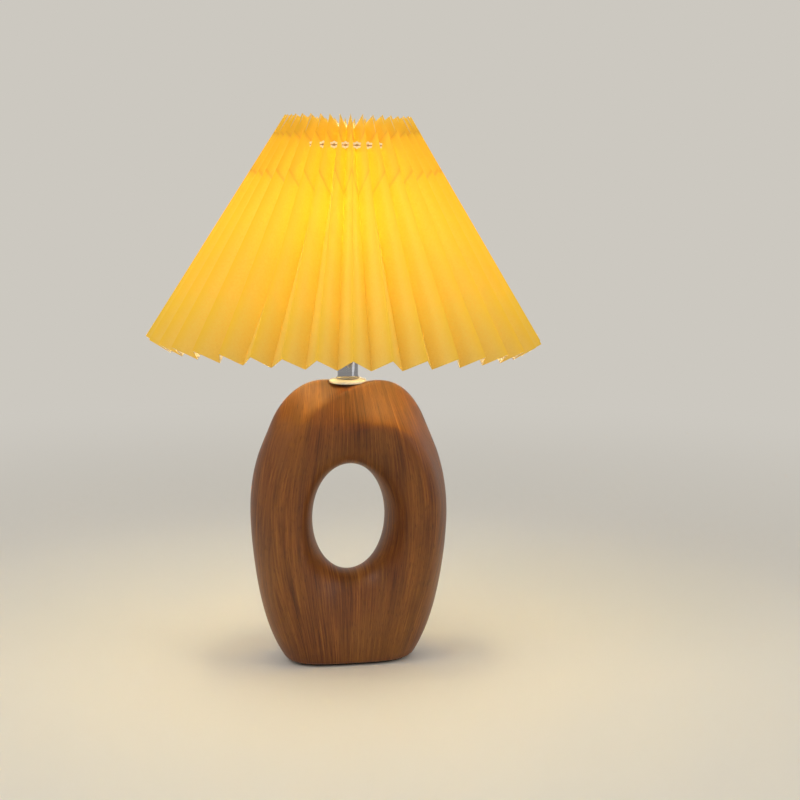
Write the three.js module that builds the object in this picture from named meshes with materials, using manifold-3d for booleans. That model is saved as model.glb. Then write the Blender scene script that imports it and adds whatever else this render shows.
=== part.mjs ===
// Table lamp: a hollow oval ring with a twisted band over its top, a short chromed neck, a
// lampholder with its bulb, and a pleated conical shade that hangs on a wire frame.
// Millimetres, +Z up from the table, the front looks towards -Y.
import * as THREE from 'three';
import { mergeVertices } from 'three/addons/utils/BufferGeometryUtils.js';
import Module from 'manifold-3d';

const wasm = await Module();
wasm.setup();

// Fits shared by several pieces
const seat_gap = 0.3; // between a piece and what it rests on
const overrun = 4; // how far a cutting tool runs past what it cuts
const degree = Math.PI / 180;

// Ring body: outline seen from the front
const ring_height = 217; // middle of the band above the table
const ring_half_width = 73.6;
const ring_waist_height = 108; // where the ring is widest
const ring_lower_half_height = 133; // of the ellipse below the waist, which the foot plane cuts
const full_share = 0.045; // fullness of the outline between waist and ends, of the ring's size
const lobe_share = 0.035; // swell of the outline beside the neck, of the ring's size
const lobe_span = 65 * degree; // from the neck to where the swell has died away
const hole_half_width = 28.6;
const hole_half_height = 42.6;
const crown_depth = 61; // of the ring over its hole

// Ring body: depth, wall and twisted band
const top_half_depth = 33;
const leg_half_depth = 35;
const foot_half_depth = 27.5;
const band_half_width = 15.5;
const hole_wall_half_width = 15;
const crest_share = 0; // where the ring is deepest, of the way from its middle to its outline
const ring_wall = 6;
const neck_land = 10; // wall under the neck, flat inside
const neck_seat_rise = 1; // of the washer's ground seat above the middle of the band
const neck_seat_margin = 0.6; // of that seat round the washer
const band_turn_limit = 80 * degree;
const band_turn_reach = 50 * degree; // way round the ring in which the band turns over
const shoulder_turn_share = 0.65; // of the band's turn that the faces beside it take up
const ridge_power = 26; // roundness of the edges, higher is squarer: beside the band
const firm_power = 8; // the other edges over the top
const soft_power = 3.3; // along the legs
const foot_power = 5; // at the foot
const ridge_start = 40 * degree;
const ridge_end = 62 * degree;
const hidden_ridge_start = 22 * degree;
const hidden_ridge_end = 52 * degree;
const ring_steps = 72;
const band_steps = 3;
const side_steps = 11;
const cavity_ring_steps = 32;
const cavity_side_steps = 5;
const cavity_band_steps = 2;
const base_opening_radius = 15; // drain and assembly opening under the pad

// Base pad and cord gland
const pad_thickness = 1.2;
const pad_inset = 4;
const gland_height = 16;
const gland_flange_radius = 7;
const gland_flange_thickness = 1.6;
const gland_neck_radius = 4.6;
const gland_bore_radius = 3.1;
const gland_lip = 1.4; // inner rim that holds the gland in the wall
const gland_fit = 0.35;

// Neck: washer, sleeve, threaded tube, nut
const tube_radius = 5;
const tube_bore_radius = 3.7;
const tube_fit = 0.35;
const tube_tail = 5; // below the nut
const tube_head = 7.5; // inside the lampholder
const washer_radius = 14.3;
const washer_thickness = 3;
const washer_rim = 1.3; // height of the straight rim below the dome
const washer_dome_steps = 4;
const sleeve_radius = 7.9;
const sleeve_wall = 1.2;
const sleeve_height = 13;
const sleeve_flange = 1.2;
const clamp_radius = 9.5;
const clamp_thickness = 2;
const nut_flat_radius = 7.5;
const nut_thickness = 4;

// Lampholder
const holder_cap_height = 19;
const holder_cap_foot_radius = 9.5;
const holder_wall = 1.8;
const holder_boss_height = 8;
const holder_spigot_height = 5; // of the cap's upper end, inside the skirt
const holder_rim = 2; // straight edge under the spigot
const holder_dome_steps = 5;
const holder_skirt_height = 36;
const holder_skirt_radius = 19.7;
const holder_collar_radius = 22.4;
const holder_collar_height = 3;
const holder_collar_foot = 12; // from the foot of the skirt to the collar
const holder_lip = 2.2;
const insert_flange_thickness = 2;
const insert_depth = 8;
const insert_radius = 13.2;
const shell_bore_radius = 13.6;
const shell_wall = 0.6;
const shell_height = 22;
const shell_flange = 1.4;
const terminal_offset = 10;
const terminal_head_radius = 2.4;
const terminal_head_height = 1.8;
const terminal_shank_radius = 1.5;
const terminal_shank_length = 5;
const contact_width = 6;
const contact_thickness = 0.6;
const contact_length = 12;
const contact_rise = 4;
const contact_steps = 8;

// Shade frame
const shade_ring_radius = 24.6;
const shade_ring_height = 9;
const shade_ring_ribs = 24;
const shade_ring_rib_depth = 0.6;
const fitter_radius = 29;
const fitter_thickness = 1.5;
const fitter_fit = 0.6;
const wire_radius = 1.5;
const leg_count = 3;
const leg_foot_run = 5;
const leg_bend = 7;
const leg_steps = 14;
const leg_side_pairs = 3;
const support_height = 359;
const support_sides = 6;

// Pleated shade
const pleat_count = 38;
const pleat_depth = 20; // width of one panel of the strip
const strip_width = 195; // along a fold
const shade_top_radius = 47.3;
const shade_bottom_radius = 150;
const shade_hang = 105.5; // of the outer folds' lower ends below the support ring
const sheet_thickness = 0.5;
const pleat_rows = 4;
const cord_radius = 0.8;
const cord_fit = 0.35;
const cord_slant = 20; // from the top edge down the folds
const cord_depth_share = 0.5; // between the outer and the inner folds
const cord_sides = 5;

// Bulb
const bulb_radius = 30;
const bulb_length = 108;
const globe_wall = 1.2;
const globe_mouth_radius = 25.5;
const globe_steps = 9;
const housing_neck_radius = 14.6;
const housing_neck_height = 2.6; // straight, below the flare
const housing_steps = 5;
const cap_radius = 13.1;
const cap_height = 19;
const cap_wall = 0.7;
const insulator_height = 4.4;
const insulator_radius = 9.6;
const tip_radius = 4.6;
const tip_height = 2.2;
const led_plate_radius = 22;
const led_plate_thickness = 1.6;

const round_steps = 32;
const small_round_steps = 16;

// Finishes
const walnut_film = { color: 0x8a5a38, roughness: 0.42, metalness: 0 };
const white_plastic = { color: 0xf2efe8, roughness: 0.45, metalness: 0 };
const black_rubber = { color: 0x2a2825, roughness: 0.7, metalness: 0 };
const dark_foam = { color: 0x3a3733, roughness: 0.95, metalness: 0 };
const chromed_steel = { color: 0xc9ccd0, roughness: 0.15, metalness: 1 };
const zinc_steel = { color: 0xb9bcc0, roughness: 0.4, metalness: 1 };
const brass = { color: 0xc9a24e, roughness: 0.35, metalness: 1 };
const porcelain = { color: 0xf0ece2, roughness: 0.3, metalness: 0 };
const white_wire = { color: 0xeeeae0, roughness: 0.4, metalness: 0 };
const cream_sheet = { color: 0xf3e6c4, roughness: 0.8, metalness: 0 };
const white_cord = { color: 0xf5f2ea, roughness: 0.85, metalness: 0 };
const opal = { color: 0xfff6e4, roughness: 0.5, metalness: 0 };
const cap_metal = { color: 0xc4c2bc, roughness: 0.35, metalness: 1 };
const black_glass = { color: 0x1c1b1d, roughness: 0.3, metalness: 0 };
const board_white = { color: 0xe9ebe8, roughness: 0.5, metalness: 0 };

// Heights stacked from the table
const foot_height = pad_thickness + seat_gap;
const hole_centre_height = ring_height - crown_depth - hole_half_height;
const neck_seat = ring_height + neck_seat_rise;
const washer_foot = neck_seat + seat_gap;
const sleeve_foot = washer_foot + washer_thickness + seat_gap;
const cap_foot = sleeve_foot + sleeve_height + seat_gap;
const cap_top = cap_foot + holder_cap_height;
const cap_shoulder = cap_top - holder_spigot_height;
const skirt_foot = cap_shoulder + seat_gap;
const skirt_bore = holder_skirt_radius - holder_wall;
const spigot_radius = skirt_bore - seat_gap;
const skirt_top = skirt_foot + holder_skirt_height;
const collar_top = skirt_foot + holder_collar_foot + holder_collar_height;
const fitter_foot = collar_top + seat_gap;
const fitter_top = fitter_foot + fitter_thickness;
const shade_ring_foot = fitter_top + seat_gap;
const land_height = ring_height - neck_land;
const clamp_top = land_height - seat_gap;
const nut_top = clamp_top - clamp_thickness - seat_gap;
const gland_seat = foot_half_depth - ring_wall; // inner face of the wall, from the axis
const insert_flange_foot = cap_top - insert_flange_thickness;
const contact_foot = cap_top + seat_gap;
const contact_top = contact_foot + contact_rise;
const bulb_foot = contact_top + seat_gap;
const bulb_cap_foot = bulb_foot + tip_height + insulator_height;
const housing_foot = bulb_cap_foot + cap_height;
const globe_centre = bulb_foot + bulb_length - bulb_radius;
const globe_mouth = globe_centre - Math.sqrt(bulb_radius ** 2 - globe_mouth_radius ** 2);
const housing_top = globe_mouth - seat_gap;

// A geometry reduced to bare, shared corners, without empty triangles, facing out
function closed(geometry) {
  const bare = geometry.clone();
  bare.deleteAttribute('normal');
  bare.deleteAttribute('uv');
  const merged = mergeVertices(bare, 1e-4);
  const corners = merged.getAttribute('position');
  const order = merged.getIndex().array;
  const kept = [];
  const [a, b, c] = [new THREE.Vector3(), new THREE.Vector3(), new THREE.Vector3()];
  let volume = 0;
  for (let i = 0; i < order.length; i += 3) {
    const [p, q, r] = [order[i], order[i + 1], order[i + 2]];
    if (p === q || q === r || r === p) continue;
    kept.push(p, q, r);
    a.fromBufferAttribute(corners, p);
    b.fromBufferAttribute(corners, q);
    c.fromBufferAttribute(corners, r);
    volume += a.dot(b.cross(c));
  }
  if (volume < 0) kept.reverse();
  merged.setIndex(kept);
  merged.computeVertexNormals();
  return merged;
}

function solidOf(geometry) {
  const body = closed(geometry);
  return new wasm.Manifold(new wasm.Mesh({
    numProp: 3,
    vertProperties: new Float32Array(body.getAttribute('position').array),
    triVerts: new Uint32Array(body.getIndex().array),
  }));
}

function geometryOf(solid) {
  const mesh = solid.getMesh();
  const geometry = new THREE.BufferGeometry();
  geometry.setAttribute('position', new THREE.BufferAttribute(new Float32Array(mesh.vertProperties), 3));
  geometry.setIndex(new THREE.BufferAttribute(new Uint32Array(mesh.triVerts), 1));
  return closed(geometry);
}

// A profile of [radius, height] corners turned about the lamp's axis
function turned(profile, steps = round_steps) {
  const corners = profile.map(([radius, height]) => new THREE.Vector2(radius, height));
  return new THREE.LatheGeometry(corners, steps).rotateX(Math.PI / 2);
}

// The same for a ring or tube, whose profile closes on itself
function turnedRing(profile, steps = round_steps) {
  return turned([...profile, profile[0]], steps);
}

function cylinderFrom(radius, foot, top, steps = round_steps) {
  return turned([[0, foot], [radius, foot], [radius, top], [0, top]], steps);
}

// A grid of corners that closes on itself both ways, as a ring with closed sections does
function loftedRing(sections) {
  const rows = sections.length;
  const columns = sections[0].length;
  const index = [];
  for (let row = 0; row < rows; row += 1) {
    for (let column = 0; column < columns; column += 1) {
      const next_row = (row + 1) % rows;
      const next_column = (column + 1) % columns;
      const here = row * columns + column;
      const beside = row * columns + next_column;
      const ahead = next_row * columns + column;
      const across = next_row * columns + next_column;
      index.push(here, ahead, across, here, across, beside);
    }
  }
  const geometry = new THREE.BufferGeometry();
  const corners = sections.flat().flatMap((point) => [point.x, point.y, point.z]);
  geometry.setAttribute('position', new THREE.Float32BufferAttribute(corners, 3));
  geometry.setIndex(index);
  return geometry;
}

// Ring body. A place round the ring is an angle from the top, positive to the right. Each
// section lies between the hole's outline and the outer outline, and is drawn in shares of
// its half width (outwards) and half depth (to the front).
function outerPoint(turn) {
  const rise = Math.cos(turn) >= 0 ? ring_height - ring_waist_height : ring_lower_half_height;
  const lobe = Math.abs(turn) < lobe_span ? lobe_share * Math.sin(Math.PI * turn / lobe_span) ** 2 : 0;
  const swell = 1 + full_share * Math.sin(2 * turn) ** 2 + lobe;
  return new THREE.Vector2(ring_half_width * swell * Math.sin(turn),
    ring_waist_height + rise * swell * Math.cos(turn));
}

function holePoint(turn) {
  return new THREE.Vector2(hole_half_width * Math.sin(turn),
    hole_centre_height + hole_half_height * Math.cos(turn));
}

function halfDepth(turn) {
  const end = Math.cos(turn) >= 0 ? top_half_depth : foot_half_depth;
  return leg_half_depth + (end - leg_half_depth) * Math.cos(turn) ** 2;
}

// The band faces up at the top, forward on the left leg and backward on the right leg
function bandTurn(turn) {
  return -band_turn_limit * Math.tanh(turn / band_turn_reach) * Math.cos(turn / 2) ** 3;
}

// The front edge of the band stays crisp down the left leg, its back edge down the right leg
function frontRidge(turn) {
  const fade = turn < 0 ? [ridge_start, ridge_end] : [hidden_ridge_start, hidden_ridge_end];
  return 1 - THREE.MathUtils.smoothstep(Math.abs(turn), ...fade);
}

function bodyPower(turn) {
  const side = Math.PI / 2;
  const upper = THREE.MathUtils.lerp(firm_power, soft_power, THREE.MathUtils.smoothstep(Math.abs(turn), 0, side));
  return THREE.MathUtils.lerp(upper, foot_power, THREE.MathUtils.smoothstep(Math.abs(turn), side, Math.PI));
}

// The flat faces of one section as [direction, distance from its middle]: the band, the
// shoulders beside it, the faces that fall into the hole, and the wall of the hole
function sectionFaces(turn, half_width, half_depth, twist) {
  const crest = crest_share * half_width;
  const shoulder_lean = Math.atan2(half_width - crest, half_depth - band_half_width);
  const scoop_lean = Math.PI - Math.atan2(half_width + crest, half_depth - hole_wall_half_width);
  const shoulder_distance = half_width * Math.cos(shoulder_lean) + band_half_width * Math.sin(shoulder_lean);
  const scoop_distance = crest * Math.cos(scoop_lean) + half_depth * Math.sin(scoop_lean);
  const shoulder_turn = shoulder_turn_share * twist;
  return {
    band: [twist, half_width],
    front: [shoulder_turn + shoulder_lean, shoulder_distance],
    back: [shoulder_turn - shoulder_lean, shoulder_distance],
    front_scoop: [scoop_lean, scoop_distance],
    back_scoop: [-scoop_lean, scoop_distance],
    hole: [Math.PI, half_width],
  };
}

// Direction in which two faces meet
function meeting([one_facing, one_distance], [other_facing, other_distance]) {
  return Math.atan2(Math.cos(one_facing) / one_distance - Math.cos(other_facing) / other_distance,
    Math.sin(other_facing) / other_distance - Math.sin(one_facing) / one_distance);
}

// Distance from the middle of the section to its surface in one direction
function sectionReach(direction, faces, turn) {
  const nearness = ([facing, distance]) => Math.max(0, Math.cos(direction - facing)) / distance;
  const power = bodyPower(turn);
  let body = 0;
  for (const face of [faces.front, faces.back, faces.front_scoop, faces.back_scoop, faces.hole]) {
    body += nearness(face) ** power;
  }
  body **= 1 / power;
  const aside = Math.atan2(Math.sin(direction - faces.band[0]), Math.cos(direction - faces.band[0]));
  const sharpness = THREE.MathUtils.lerp(frontRidge(-turn), frontRidge(turn),
    THREE.MathUtils.smoothstep(aside, -Math.PI / 6, Math.PI / 6));
  const edge_power = THREE.MathUtils.lerp(power, ridge_power, sharpness);
  return (body ** edge_power + nearness(faces.band) ** edge_power) ** (-1 / edge_power);
}

function ringSection(turn, wall, band_count, side_count) {
  const outer = outerPoint(turn);
  const inner = holePoint(turn);
  const middle = outer.clone().add(inner).multiplyScalar(0.5);
  const outward = outer.clone().sub(inner).normalize();
  const half_width = outer.distanceTo(inner) / 2;
  const half_depth = halfDepth(turn);
  const upright = sectionFaces(turn, half_width, half_depth, 0);
  const faces = sectionFaces(turn, half_width, half_depth, bandTurn(turn));
  const outmost = sectionReach(0, upright, turn);
  const inmost = sectionReach(Math.PI, upright, turn);
  let frontmost = 0;
  for (let lean = 0; lean < 180; lean += 1) {
    frontmost = Math.max(frontmost, sectionReach(lean * degree, upright, turn) * Math.sin(lean * degree));
  }
  const front = meeting(faces.band, faces.front);
  const back = meeting(faces.back, faces.band);
  const directions = [];
  for (let i = 0; i < band_count; i += 1) directions.push(back + (front - back) * i / band_count);
  for (let i = 0; i < side_count; i += 1) directions.push(front + (Math.PI - front) * i / side_count);
  for (let i = 0; i < side_count; i += 1) directions.push(Math.PI + (back + Math.PI) * i / side_count);
  return directions.map((direction) => {
    const length = sectionReach(direction, faces, turn);
    const out_share = (2 * length * Math.cos(direction) - outmost + inmost) / (outmost + inmost);
    const front_share = length * Math.sin(direction) / frontmost;
    return new THREE.Vector3(
      middle.x + outward.x * (half_width - wall) * out_share,
      -(half_depth - wall) * front_share,
      middle.y + outward.y * (half_width - wall) * out_share,
    );
  });
}

function ringLoft(wall, turns, band_count, side_count) {
  const sections = [];
  for (let i = 0; i < turns; i += 1) {
    const turn = -Math.PI + 2 * Math.PI * i / turns;
    sections.push(ringSection(turn, wall, band_count, side_count));
  }
  return loftedRing(sections);
}

function slab(foot, top) {
  const side = 4 * ring_half_width;
  const geometry = new THREE.BoxGeometry(side, side, top - foot);
  return solidOf(geometry.translate(0, 0, (foot + top) / 2));
}

function ringBody() {
  const below = -ring_lower_half_height;
  const outside = solidOf(ringLoft(0, ring_steps, band_steps, side_steps)).subtract(slab(below, foot_height));
  const cavity = solidOf(ringLoft(ring_wall, cavity_ring_steps, cavity_band_steps, cavity_side_steps))
    .subtract(slab(below, foot_height + ring_wall))
    .subtract(slab(land_height, ring_height + overrun));
  const neck_hole = solidOf(cylinderFrom(tube_radius + tube_fit, land_height - overrun,
    ring_height + overrun, small_round_steps));
  const base_opening = solidOf(cylinderFrom(base_opening_radius, foot_height - overrun,
    foot_height + ring_wall + overrun, small_round_steps));
  const gland_hole = solidOf(alongBack(cylinderFrom(gland_neck_radius + gland_fit,
    gland_seat - overrun, foot_half_depth + overrun, small_round_steps)));
  const gland_recess = solidOf(alongBack(cylinderFrom(gland_neck_radius + gland_lip + gland_fit,
    gland_seat - gland_lip - overrun, gland_seat, small_round_steps)));
  const washer_seat = solidOf(cylinderFrom(washer_radius + neck_seat_margin, neck_seat, ring_height + 2 * overrun));
  return geometryOf(outside.subtract(cavity).subtract(neck_hole).subtract(washer_seat)
    .subtract(base_opening).subtract(gland_hole).subtract(gland_recess));
}

// Turns a piece made on the lamp's axis to lie along +Y at the gland's height
function alongBack(geometry) {
  return geometry.rotateX(-Math.PI / 2).translate(0, 0, gland_height);
}

// A slice of the ring's foot, drawn in by the pad's inset
function basePad() {
  const drawn_in = solidOf(ringLoft(pad_inset, ring_steps, band_steps, side_steps));
  return geometryOf(drawn_in.intersect(slab(foot_height, foot_height + pad_thickness)))
    .translate(0, 0, -foot_height);
}

function cordGland() {
  const inner_face = gland_seat - seat_gap;
  const flange_foot = foot_half_depth + seat_gap;
  const flange_top = flange_foot + gland_flange_thickness;
  const lip_radius = gland_neck_radius + gland_lip;
  return alongBack(turnedRing([
    [gland_bore_radius, inner_face - gland_lip],
    [gland_neck_radius, inner_face - gland_lip],
    [lip_radius, inner_face],
    [gland_neck_radius, inner_face],
    [gland_neck_radius, flange_foot],
    [gland_flange_radius, flange_foot],
    [gland_flange_radius - gland_flange_thickness / 2, flange_top],
    [gland_bore_radius, flange_top],
  ], small_round_steps));
}

// Neck
function neckWasher() {
  const bore = tube_radius + tube_fit;
  const profile = [[bore, washer_foot], [washer_radius, washer_foot], [washer_radius, washer_foot + washer_rim]];
  const shoulder = sleeve_radius + sleeve_flange;
  for (let i = 1; i <= washer_dome_steps; i += 1) {
    const lift = Math.PI / 2 * i / washer_dome_steps;
    profile.push([shoulder + (washer_radius - shoulder) * Math.cos(lift),
      washer_foot + washer_rim + (washer_thickness - washer_rim) * Math.sin(lift)]);
  }
  profile.push([bore, washer_foot + washer_thickness]);
  return turnedRing(profile);
}

function neckSleeve() {
  const bore = sleeve_radius - sleeve_wall;
  const top = sleeve_foot + sleeve_height;
  const pinch = tube_radius + tube_fit;
  return turnedRing([[bore, sleeve_foot], [sleeve_radius + sleeve_flange, sleeve_foot],
    [sleeve_radius + sleeve_flange, sleeve_foot + sleeve_wall / 2], [sleeve_radius, sleeve_foot + sleeve_wall],
    [sleeve_radius, top], [pinch, top], [pinch, top - sleeve_wall], [bore, top - sleeve_wall]]);
}

function threadedTube() {
  const foot = nut_top - nut_thickness - tube_tail;
  const top = cap_foot + tube_head;
  return turnedRing([[tube_bore_radius, foot], [tube_radius, foot], [tube_radius, top], [tube_bore_radius, top]],
    small_round_steps);
}

function clampWasher() {
  const foot = clamp_top - clamp_thickness;
  const bore = tube_radius + tube_fit;
  return turnedRing([[bore, foot], [clamp_radius, foot], [clamp_radius, clamp_top], [bore, clamp_top]]);
}

function hexagon(flat_radius) {
  const shape = new THREE.Shape();
  for (let i = 0; i < 6; i += 1) {
    const corner = flat_radius / Math.cos(Math.PI / 6);
    const place = [corner * Math.cos(i * Math.PI / 3), corner * Math.sin(i * Math.PI / 3)];
    if (i === 0) shape.moveTo(...place);
    else shape.lineTo(...place);
  }
  shape.closePath();
  return shape;
}

function lockNut() {
  const shape = hexagon(nut_flat_radius);
  shape.holes.push(new THREE.Path().absarc(0, 0, tube_radius + tube_fit, 0, 2 * Math.PI, true));
  const settings = { depth: nut_thickness, bevelEnabled: false, curveSegments: small_round_steps };
  return new THREE.ExtrudeGeometry(shape, settings).translate(0, 0, nut_top - nut_thickness);
}

// Lampholder
function holderCap() {
  const bore = tube_radius + tube_fit;
  const boss = bore + holder_wall;
  const boss_top = cap_foot + holder_boss_height;
  const outside = [];
  const inside = [];
  const outside_height = cap_shoulder - holder_rim - cap_foot;
  const inside_foot = cap_foot + holder_wall;
  const inside_height = insert_flange_foot - seat_gap - inside_foot;
  for (let i = 0; i <= holder_dome_steps; i += 1) {
    const lift = Math.PI / 2 * i / holder_dome_steps;
    const spread = Math.sin(lift);
    const rise = 1 - Math.cos(lift);
    outside.push([holder_cap_foot_radius + (holder_skirt_radius - holder_cap_foot_radius) * spread,
      cap_foot + outside_height * rise]);
    inside.push([boss + (spigot_radius - holder_wall - boss) * spread, inside_foot + inside_height * rise]);
  }
  const flange_bore = spigot_radius - holder_wall / 2;
  return turnedRing([[bore, cap_foot], ...outside, [holder_skirt_radius, cap_shoulder],
    [spigot_radius, cap_shoulder], [spigot_radius, cap_top], [flange_bore, cap_top],
    [flange_bore, insert_flange_foot - seat_gap], ...inside.reverse(), [boss, boss_top], [bore, boss_top]]);
}

function holderSkirt() {
  const collar_foot = collar_top - holder_collar_height;
  const lip_bore = skirt_bore - holder_lip;
  return turnedRing([[skirt_bore, skirt_foot], [holder_skirt_radius, skirt_foot],
    [holder_skirt_radius, collar_foot], [holder_collar_radius, collar_foot + holder_collar_height / 3],
    [holder_collar_radius, collar_top], [holder_skirt_radius, collar_top],
    [holder_skirt_radius, skirt_top - holder_wall / 2], [holder_skirt_radius - holder_wall / 2, skirt_top],
    [lip_bore, skirt_top], [lip_bore, skirt_top - holder_wall], [skirt_bore, skirt_top - 2 * holder_wall]]);
}

function holderInsert() {
  const flange = spigot_radius - holder_wall / 2 - seat_gap;
  const foot = insert_flange_foot - insert_depth;
  let insert = solidOf(turned([[0, foot], [insert_radius, foot], [insert_radius, insert_flange_foot],
    [flange, insert_flange_foot], [flange, cap_top], [0, cap_top]]));
  for (const side of [-1, 1]) {
    const pocket = cylinderFrom(terminal_shank_radius + seat_gap, foot - overrun,
      foot + terminal_shank_length + seat_gap, small_round_steps);
    insert = insert.subtract(solidOf(pocket.translate(side * terminal_offset, 0, 0)));
  }
  return geometryOf(insert);
}

function screwShell() {
  const foot = cap_top + seat_gap;
  const top = foot + shell_height;
  const outer = shell_bore_radius + shell_wall;
  return turnedRing([[shell_bore_radius - shell_flange, foot], [outer, foot], [outer, top],
    [shell_bore_radius, top], [shell_bore_radius, foot + shell_wall],
    [shell_bore_radius - shell_flange, foot + shell_wall]]);
}

function terminalScrew(side) {
  const foot = insert_flange_foot - insert_depth - seat_gap - terminal_head_height;
  const head_top = foot + terminal_head_height;
  const top = head_top + terminal_shank_length;
  return turned([[0, foot], [terminal_head_radius, foot], [terminal_head_radius, head_top],
    [terminal_shank_radius, head_top], [terminal_shank_radius, top], [0, top]], small_round_steps)
    .translate(side * terminal_offset, 0, 0);
}

// A bent tongue that the bulb's tip presses down
function centreContact() {
  const half = contact_length / 2;
  const lower = [];
  const upper = [];
  for (let i = 0; i <= contact_steps; i += 1) {
    const share = i / contact_steps;
    const rise = (contact_rise - contact_thickness) * Math.sin(Math.PI * share);
    const place = -half + contact_length * share;
    lower.push([place, contact_foot + rise]);
    upper.push([place, contact_foot + contact_thickness + rise]);
  }
  const outline = [...lower, ...upper.reverse()].map(([x, z]) => new THREE.Vector2(x, z));
  const geometry = new THREE.ExtrudeGeometry(new THREE.Shape(outline), { depth: contact_width, bevelEnabled: false });
  return geometry.rotateX(Math.PI / 2).translate(0, contact_width / 2, 0);
}

// Shade frame
function shadeRing() {
  const shape = new THREE.Shape();
  const steps = 4 * shade_ring_ribs;
  for (let i = 0; i < steps; i += 1) {
    const angle = 2 * Math.PI * i / steps;
    const radius = shade_ring_radius + shade_ring_rib_depth * Math.cos(shade_ring_ribs * angle);
    const place = [radius * Math.cos(angle), radius * Math.sin(angle)];
    if (i === 0) shape.moveTo(...place);
    else shape.lineTo(...place);
  }
  shape.closePath();
  shape.holes.push(new THREE.Path().absarc(0, 0, holder_skirt_radius + seat_gap, 0, 2 * Math.PI, true));
  const settings = { depth: shade_ring_height, bevelEnabled: false, curveSegments: small_round_steps };
  return new THREE.ExtrudeGeometry(shape, settings).translate(0, 0, shade_ring_foot);
}

function fitterRing() {
  const bore = holder_skirt_radius + fitter_fit;
  return turnedRing([[bore, fitter_foot], [fitter_radius, fitter_foot], [fitter_radius, fitter_top],
    [bore, fitter_top]]);
}

// The shade's fold lines as [radius, height], down the slant from the top edge
const fold_slope = new THREE.Vector2(shade_bottom_radius - shade_top_radius,
  -Math.sqrt(strip_width ** 2 - (shade_bottom_radius - shade_top_radius) ** 2)).divideScalar(strip_width);
const fold_inward = new THREE.Vector2(fold_slope.y, -fold_slope.x);
const shade_top_height = support_height - shade_hang - fold_slope.y * strip_width;

function outerFold(slant) {
  return new THREE.Vector2(shade_top_radius, shade_top_height).addScaledVector(fold_slope, slant);
}

// Half the width that one panel takes up round the shade
function panelHalfTurn(slant) {
  return outerFold(slant).x * Math.sin(Math.PI / pleat_count);
}

function innerFold(slant) {
  const offset = Math.sqrt(pleat_depth ** 2 - panelHalfTurn(slant) ** 2);
  return outerFold(slant).addScaledVector(fold_inward, offset);
}

// How far the sheet's inner face lies behind its outer face, across the folds
function sheetShift(slant) {
  return sheet_thickness * pleat_depth / panelHalfTurn(slant);
}

// Inner edge of the inner folds at one height, found by halving
function innermostAt(height) {
  let low = 0;
  let high = strip_width;
  let edge = innerFold(low);
  for (let halving = 0; halving < 40; halving += 1) {
    const middle = (low + high) / 2;
    edge = innerFold(middle).addScaledVector(fold_inward, sheetShift(middle));
    if (edge.y > height) low = middle;
    else high = middle;
  }
  return edge.x;
}

const support_radius = innermostAt(support_height) + (wire_radius + seat_gap) / fold_slope.y;

function supportRing() {
  return new THREE.TorusGeometry(support_radius, wire_radius, support_sides, pleat_count)
    .rotateZ(Math.PI / pleat_count).translate(0, 0, support_height);
}

function frameLeg(index) {
  const run_height = fitter_foot - seat_gap - wire_radius;
  const bend_start = fitter_radius + wire_radius + seat_gap;
  const rise = new THREE.Vector2(support_radius - bend_start - leg_bend, support_height - run_height).normalize();
  const bend_end = new THREE.Vector2(bend_start + leg_bend, run_height).addScaledVector(rise, leg_bend);
  const direction = new THREE.Vector2(support_radius, support_height).sub(bend_end).normalize();
  const end = new THREE.Vector2(support_radius, support_height).addScaledVector(direction, -wire_radius - seat_gap);
  const at = (radius, height) => new THREE.Vector3(radius, 0, height);
  const path = new THREE.CurvePath();
  path.add(new THREE.LineCurve3(at(bend_start - leg_foot_run, run_height), at(bend_start, run_height)));
  path.add(new THREE.QuadraticBezierCurve3(at(bend_start, run_height), at(bend_start + leg_bend, run_height),
    at(bend_end.x, bend_end.y)));
  path.add(new THREE.LineCurve3(at(bend_end.x, bend_end.y), at(end.x, end.y)));
  const section = new THREE.Shape().absarc(0, 0, wire_radius, 0, 2 * Math.PI, false);
  const settings = { steps: leg_steps, bevelEnabled: false, extrudePath: path, curveSegments: leg_side_pairs };
  return new THREE.ExtrudeGeometry(section, settings).rotateZ(Math.PI / 2 + 2 * Math.PI * index / leg_count);
}

// Pleated sheet: straight folds, alternately outside and inside, with a wall of even thickness
function pleatedShade() {
  const corners = [];
  const columns = 2 * pleat_count;
  for (const layer of [0, 1]) {
    for (let row = 0; row <= pleat_rows; row += 1) {
      const slant = strip_width * row / pleat_rows;
      const shift = layer * sheetShift(slant);
      const folds = [outerFold(slant).addScaledVector(fold_inward, shift),
        innerFold(slant).addScaledVector(fold_inward, shift)];
      for (let column = 0; column < columns; column += 1) {
        const angle = Math.PI * column / pleat_count;
        const fold = folds[column % 2];
        corners.push(fold.x * Math.cos(angle), fold.x * Math.sin(angle), fold.y);
      }
    }
  }
  const at = (layer, row, column) => (layer * (pleat_rows + 1) + row) * columns + column % columns;
  const index = [];
  const quad = (a, b, c, d) => index.push(a, b, c, a, c, d);
  for (let column = 0; column < columns; column += 1) {
    for (let row = 0; row < pleat_rows; row += 1) {
      quad(at(0, row, column), at(0, row + 1, column), at(0, row + 1, column + 1), at(0, row, column + 1));
      quad(at(1, row, column), at(1, row, column + 1), at(1, row + 1, column + 1), at(1, row + 1, column));
    }
    quad(at(0, 0, column), at(0, 0, column + 1), at(1, 0, column + 1), at(1, 0, column));
    quad(at(0, pleat_rows, column + 1), at(0, pleat_rows, column), at(1, pleat_rows, column),
      at(1, pleat_rows, column + 1));
  }
  const geometry = new THREE.BufferGeometry();
  geometry.setAttribute('position', new THREE.Float32BufferAttribute(corners, 3));
  geometry.setIndex(index);
  return geometryOf(solidOf(geometry).subtract(solidOf(cordRing(cord_radius + cord_fit))));
}

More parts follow.
